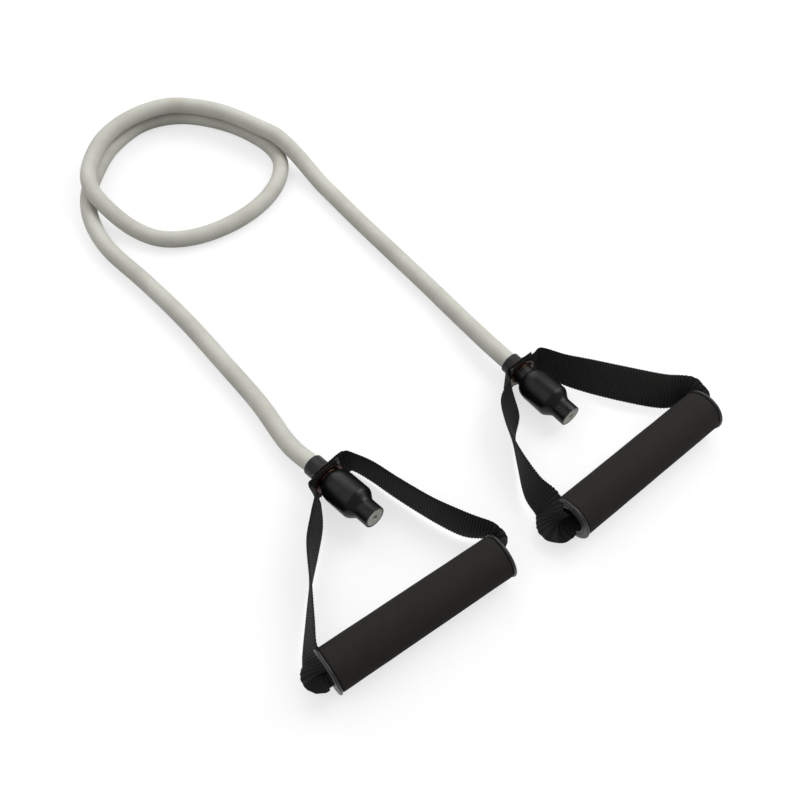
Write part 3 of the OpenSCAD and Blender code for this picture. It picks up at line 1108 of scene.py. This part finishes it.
    def eyelet(self) -> bpy.types.Object:
        """Builds the eyelet: a barrel with a rounded flange towards the tube and a rolled edge beyond.

        Returns:
            The new mesh object.
        """
        inner, outer = self.barrel_r - self.barrel_wall, self.barrel_r
        half, roll = self.flange_t / 2, self.barrel_wall / 2
        rim = outer + self.flange - half
        outline = arc((inner + roll, -self.flange_s + roll), roll, 180, 270, 4)
        outline += arc((rim, -self.flange_s + half), half, -90, 90, 8)
        outline += [(outer, -self.flange_s + self.flange_t)]
        outline += arc((outer - roll, self.flange_s + roll), roll, 0, 180, 8)
        piece = self.end.eye.lathe(f"{self.side.value}_eyelet_barrel", outline)
        # The roll and the outer rim of the flange are marked for the painted copper highlight.
        painted_glint = [float(s > self.flange_s or r > rim) for r, s in outline]
        put(piece, "painted_glint", np.tile(painted_glint, len(piece.data.vertices) // len(outline)))
        return piece

    def washer(self) -> bpy.types.Object:
        """Builds the washer: a shallow dish with a bead at its outer rim and one against the barrel.

        Returns:
            The new mesh object.
        """
        start = self.flange_s - self.flange_t
        bead = self.flange_t * 0.62
        inner = self.barrel_r + self.seat / 2
        outer = self.barrel_r + self.flange
        outline = [(inner, start), (outer - bead, start)]
        outline += arc((outer - bead / 2, start + bead), bead / 2, -90, 150, 8)
        dish = start + 0.75 * self.flange_t
        outline += [(outer - 1.4 * bead, dish), (inner + 1.2 * bead, dish)]
        outline += arc((inner + bead / 2, start + bead), bead / 2, 40, 180, 6)
        piece = self.end.eye.lathe(f"{self.side.value}_eyelet_washer", outline)
        # The top of the washer, its beads and dish, is marked for the painted copper highlight.
        painted_glint = [float(s > start + bead) for _, s in outline]
        put(piece, "painted_glint", np.tile(painted_glint, len(piece.data.vertices) // len(outline)))
        return piece

    def build(self, finishes: Finishes) -> None:
        """Builds and dresses the webbing, the eyelet and the washer.

        Args:
            finishes: The object's finishes.
        """
        name = self.side.value
        strap = self.strap()
        for piece, node, slot in (
            (strap, "strap", "webbing"),
            (self.eyelet(), "eyelet", "eyelet_metal"),
            (self.washer(), "washer", "eyelet_metal"),
        ):
            if piece is not strap:
                shade(piece)
            finishes.dress(piece, slot)
            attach(piece, f"{name}_loop")
            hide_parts(f"{name}_{node}")
            LOG.info("%s: %d faces", piece.name, len(piece.data.polygons))
        LOG.info("%s: cut from %.3f m of webbing", strap.name, self.length)


@dataclass
class Grip:
    """One foam grip on its core pipe, with an end cap at each end. Distances run from its middle."""

    side: Side
    foam_r: float = 15.0 * MM
    foam_len: float = 127.0 * MM
    foam_edge: float = 1.4 * MM
    foam_swell: float = 0.12 * MM
    core_r: float = 11.8 * MM
    core_bore: float = 10.4 * MM
    seat: float = 0.1 * MM
    cap_r: float = 15.75 * MM
    cap_t: float = 2.2 * MM
    cap_wall: float = 1.0 * MM
    cap_depth: float = 12.0 * MM
    groove_r: float = 11.6 * MM
    groove: float = 0.5 * MM

    def __post_init__(self) -> None:
        """Takes the grip's axis from the frame."""
        self.axis = Axis.of_joint(f"{self.side.value}_spin")

    def foam(self) -> bpy.types.Object:
        """Builds the foam: a soft-edged sleeve whose skin is a little uneven.

        Returns:
            The new mesh object.
        """
        half, edge, bore = self.foam_len / 2, self.foam_edge, self.core_r + self.seat
        outline = arc((self.foam_r - edge, -half + edge), edge, -90, 0, 6)
        outline += [(self.foam_r, s) for s in np.linspace(-half + edge, half - edge, 62)[1:-1]]
        outline += arc((self.foam_r - edge, half - edge), edge, 0, 90, 6)
        outline += [(bore, s) for s in np.linspace(half, -half, 12)]
        piece = self.axis.lathe(f"{self.side.value}_foam_sleeve", outline, 112)
        skin = self.foam_r - 0.5 * edge
        for vertex in piece.data.vertices:
            out = np.array(vertex.co) - self.axis.origin
            out = out - out @ self.axis.along * self.axis.along
            if np.linalg.norm(out) > skin:
                dent = noise.noise(vertex.co / (16 * MM)) - 0.4
                vertex.co += Vector(unit(out)) * (self.foam_swell * dent)
        return piece

    def cap(self, hand: Hand) -> bpy.types.Object:
        """Builds one end cap: a round-rimmed flange with a grooved face and a barrel in the core.

        Args:
            hand: End of the grip.

        Returns:
            The new mesh object.
        """
        rim, lip = self.cap_t / 2, self.cap_wall / 2
        barrel, bore = self.core_bore - self.seat, self.core_bore - self.seat - self.cap_wall
        face = self.cap_t
        outline = [(bore, -self.cap_depth), (barrel, -self.cap_depth), (barrel, 0.0)]
        outline += arc((self.cap_r - rim, rim), rim, -90, 90, 16)
        outline += arc((self.groove_r, face), self.groove, 0, -180, 8)
        outline += arc((bore + lip, face - lip), lip, 90, 180, 6)
        start = self.foam_len / 2
        placed = [(r, hand.value * (start + s)) for r, s in outline]
        name = {Hand.MINUS: "minus", Hand.PLUS: "plus"}[hand]
        return self.axis.lathe(f"{self.side.value}_cap_{name}", placed)

    def build(self, finishes: Finishes) -> None:
        """Builds and dresses the foam and the caps, and dresses the core.

        Args:
            finishes: The object's finishes.
        """
        name = self.side.value
        outer = Hand.MINUS if self.side is Side.LEFT else Hand.PLUS
        inner = Hand.PLUS if outer is Hand.MINUS else Hand.MINUS
        foam = self.foam()
        for piece, node, slot in (
            (foam, "foam", "grip_foam"),
            (self.cap(outer), "cap_outer", "cap_plastic"),
            (self.cap(inner), "cap_inner", "cap_plastic"),
        ):
            shade(piece, 40)
            finishes.dress(piece, slot)
            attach(piece, f"{name}_grip")
            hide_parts(f"{name}_{node}")
            LOG.info("%s: %d faces", piece.name, len(piece.data.polygons))
        finishes.dress(frame["nodes"][f"{name}_core"], "core_plastic")


@dataclass
class Studio:
    """Camera at the photograph's angle, a pale floor and soft lamps."""

    eye: tuple[float, float, float] = (-209.5 * MM, -192 * MM, 564.5 * MM)
    turn: float = 37.0
    pitch: float = 58.48
    focal_px: float = 921.5
    image_px: float = 800.0
    sensor: float = 36.0
    aim: tuple[float, float, float] = (-20 * MM, 160 * MM, 0.0)
    floor_half: float = 12.0
    floor_colour: Colour = (0.36, 0.36, 0.36)
    floor_glow: float = 0.67
    world_light: float = 0.42
    lamps: tuple[tuple[str, float, float, float, float, float], ...] = (
        ("key", 62.0, 42.0, 1.6, 1.1, 15.0),
        ("back", -12.0, 38.0, 1.6, 1.3, 10.0),
        ("fill", -105.0, 50.0, 1.6, 1.6, 6.0),
    )

    def camera(self) -> None:
        """Sets the camera by the pitch, the turn and the focal length in pixels of the photograph."""
        data = bpy.data.cameras.new("camera")
        data.sensor_width = self.sensor
        data.lens = self.focal_px / self.image_px * self.sensor
        data.clip_start, data.clip_end = 0.01, 100.0
        camera = bpy.data.objects.new("camera", data)
        camera.location = self.eye
        camera.rotation_euler = (math.radians(90 - self.pitch), 0.0, math.radians(-self.turn))
        bpy.context.scene.collection.objects.link(camera)
        bpy.context.scene.camera = camera

    def floor(self) -> None:
        """Lays a floor that glows a little for the camera, to read as white and keep its shadows."""
        h = self.floor_half
        mesh = bpy.data.meshes.new("floor")
        mesh.from_pydata([(-h, -h, 0), (h, -h, 0), (h, h, 0), (-h, h, 0)], [], [(0, 1, 2, 3)])
        floor = bpy.data.objects.new("floor", mesh)
        floor.location.z = -0.2 * MM
        bpy.context.scene.collection.objects.link(floor)
        bench = Bench("floor", self.floor_colour, 0.9)
        bench.set(bench.shader, Specular_IOR_Level=0.0)
        rays = bench.add("ShaderNodeLightPath").outputs
        seen = bench.math("MAXIMUM", rays["Is Camera Ray"], rays["Is Glossy Ray"])
        seen = bench.math("MAXIMUM", seen, rays["Is Transmission Ray"])
        bench.set(bench.shader, Emission_Color=(1.0, 1.0, 1.0, 1.0))
        bench.link(bench.math("MULTIPLY", seen, self.floor_glow), bench.shader.inputs["Emission Strength"])
        mesh.materials.append(bench.material)

    def light(self) -> None:
        """Hangs the lamps round the object, each turned to its middle, under an even world."""
        world = bpy.data.worlds.new("studio")
        world.use_nodes = True
        tree = world.node_tree
        sky = tree.nodes["Background"]
        sky.inputs["Color"].default_value = (1.0, 1.0, 1.0, 1.0)
        rays = tree.nodes.new("ShaderNodeLightPath").outputs["Is Camera Ray"]
        strength = tree.nodes.new("ShaderNodeMapRange")
        strength.inputs["To Min"].default_value = self.world_light
        strength.inputs["To Max"].default_value = 1.0
        tree.links.new(rays, strength.inputs["Value"])
        tree.links.new(strength.outputs["Result"], sky.inputs["Strength"])
        bpy.context.scene.world = world
        middle = Vector(self.aim)
        for name, bearing, height, away, size, power in self.lamps:
            lamp = bpy.data.lights.new(name, "AREA")
            lamp.shape, lamp.size, lamp.energy = "SQUARE", size, power
            holder = bpy.data.objects.new(name, lamp)
            a, e = math.radians(self.turn + bearing), math.radians(height)
            way = Vector((math.sin(a) * math.cos(e), math.cos(a) * math.cos(e), math.sin(e)))
            holder.location = middle + away * way
            holder.rotation_euler = way.to_track_quat("Z", "Y").to_euler()
            bpy.context.scene.collection.objects.link(holder)

    def build(self) -> None:
        """Sets up the whole studio and the plain view of colour."""
        bpy.context.scene.view_settings.view_transform = "Standard"
        self.camera()
        self.floor()
        self.light()


def main() -> None:
    """Builds the studio and every sub-assembly."""
    logging.basicConfig(level=logging.INFO, format="%(message)s")
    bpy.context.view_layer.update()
    Studio().build()
    finishes = Finishes()
    left, right = TubeEnd(Side.LEFT, slide=0.0), TubeEnd(Side.RIGHT, slide=4.5 * MM)
    Tube(left, right).build(finishes)
    for end, legs in ((left, LEFT_LEGS), (right, RIGHT_LEGS)):
        end.build(finishes)
        HandleLoop(end, legs).build(finishes)
        Grip(end.side).build(finishes)
    LOG.info("boxes written")


if __name__ == "__main__":
    main()
